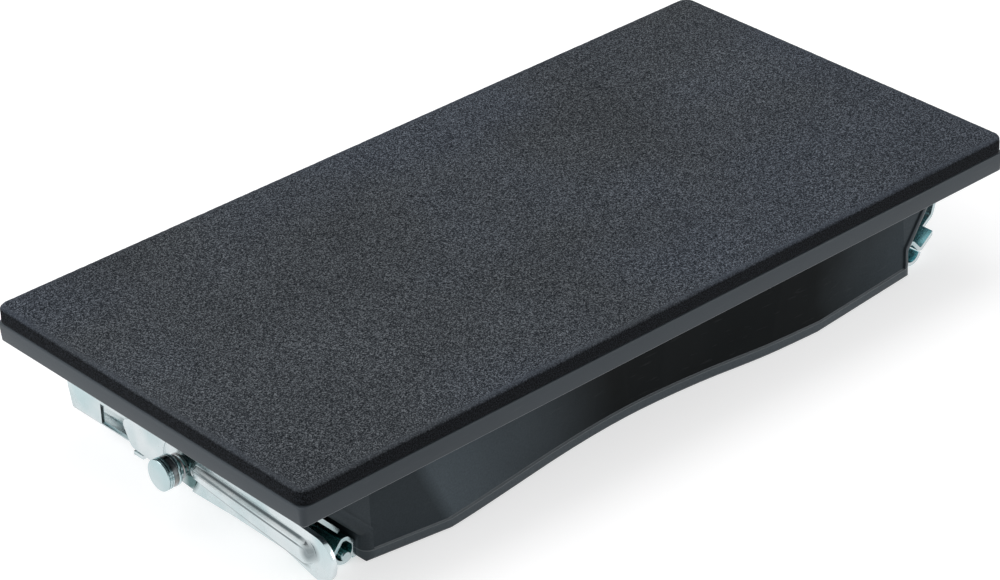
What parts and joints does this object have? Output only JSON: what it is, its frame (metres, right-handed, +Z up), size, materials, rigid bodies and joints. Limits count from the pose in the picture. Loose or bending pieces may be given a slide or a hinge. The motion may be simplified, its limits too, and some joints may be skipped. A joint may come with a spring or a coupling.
{
  "type": "hand sanding block",
  "caption": "Hand sanding block: a foam pad on a flat plate, an hourglass grip, and a sprung jaw with a side lever at each end to clamp the paper.",
  "frame": {"origin": "Centre of the bounding box's underside, on the grip's flat palm face, which the block lies on with its pad up.", "axes": "X along the block's long side, with the left end's clamp at -X; Y across it; Z up from the palm face to the sanding pad."},
  "size_m": [0.21, 0.1054, 0.0317],
  "materials": {
    "foam": "dark grey foam rubber with a fine grain",
    "adhesive": "thin adhesive layer",
    "plate_plastic": "satin moulded black plastic",
    "grip_plastic": "semi-gloss moulded black plastic",
    "screw_steel": "zinc plated",
    "zinc_sheet": "bright blue-passivated zinc plating on pressed sheet",
    "zinc_turned": "bright zinc plating on turned steel",
    "spring_steel": "bright spring steel"
  },
  "bodies": {
    "block": {"sanding_pad": "foam", "pad_adhesive": "adhesive", "base_plate": "plate_plastic", "grip_shell": "grip_plastic", "grip_screw_1": "screw_steel", "grip_screw_2": "screw_steel", "grip_screw_3": "screw_steel", "grip_screw_4": "screw_steel", "left_bracket": "zinc_sheet", "left_hinge_rod": "zinc_turned", "left_pivot_stud": "zinc_turned", "left_flat_washer": "zinc_turned", "left_bracket_rivet_1": "zinc_turned", "left_bracket_rivet_2": "zinc_turned", "left_spring_washer": "spring_steel", "left_lever_spring": "spring_steel", "right_bracket": "zinc_sheet", "right_hinge_rod": "zinc_turned", "right_pivot_stud": "zinc_turned", "right_flat_washer": "zinc_turned", "right_bracket_rivet_1": "zinc_turned", "right_bracket_rivet_2": "zinc_turned", "right_spring_washer": "spring_steel", "right_lever_spring": "spring_steel"},
    "left_lever_body": {"left_lever": "zinc_sheet", "left_push_pin": "zinc_turned"},
    "left_jaw_body": {"left_jaw": "zinc_sheet", "left_jaw_spring": "spring_steel"},
    "right_lever_body": {"right_lever": "zinc_sheet", "right_push_pin": "zinc_turned"},
    "right_jaw_body": {"right_jaw": "zinc_sheet", "right_jaw_spring": "spring_steel"}
  },
  "joints": [
    {"name": "left_lever_swing", "type": "hinge", "parent": "block", "child": "left_lever_body", "pos_m": [-0.0977, -0.0025, 0.0124], "axis": [1, 0, 0], "range_deg": [0, 16]},
    {"name": "left_jaw_swing", "type": "hinge", "parent": "block", "child": "left_jaw_body", "pos_m": [-0.0864, 0, 0.00235], "axis": [0, -1, 0], "range_deg": [0, 11.6], "stiffness_Nm_per_rad": 0.06, "springref_deg": -28.65},
    {"name": "right_lever_swing", "type": "hinge", "parent": "block", "child": "right_lever_body", "pos_m": [0.0977, 0.0025, 0.0124], "axis": [-1, 0, 0], "range_deg": [0, 16]},
    {"name": "right_jaw_swing", "type": "hinge", "parent": "block", "child": "right_jaw_body", "pos_m": [0.0864, 0, 0.00235], "axis": [0, 1, 0], "range_deg": [0, 11.6], "stiffness_Nm_per_rad": 0.06, "springref_deg": -28.65}
  ],
  "couplings": [
    {"joint": "left_jaw_swing", "follows": "left_lever_swing", "ratio": 0.72},
    {"joint": "right_jaw_swing", "follows": "right_lever_swing", "ratio": 0.72}
  ]
}
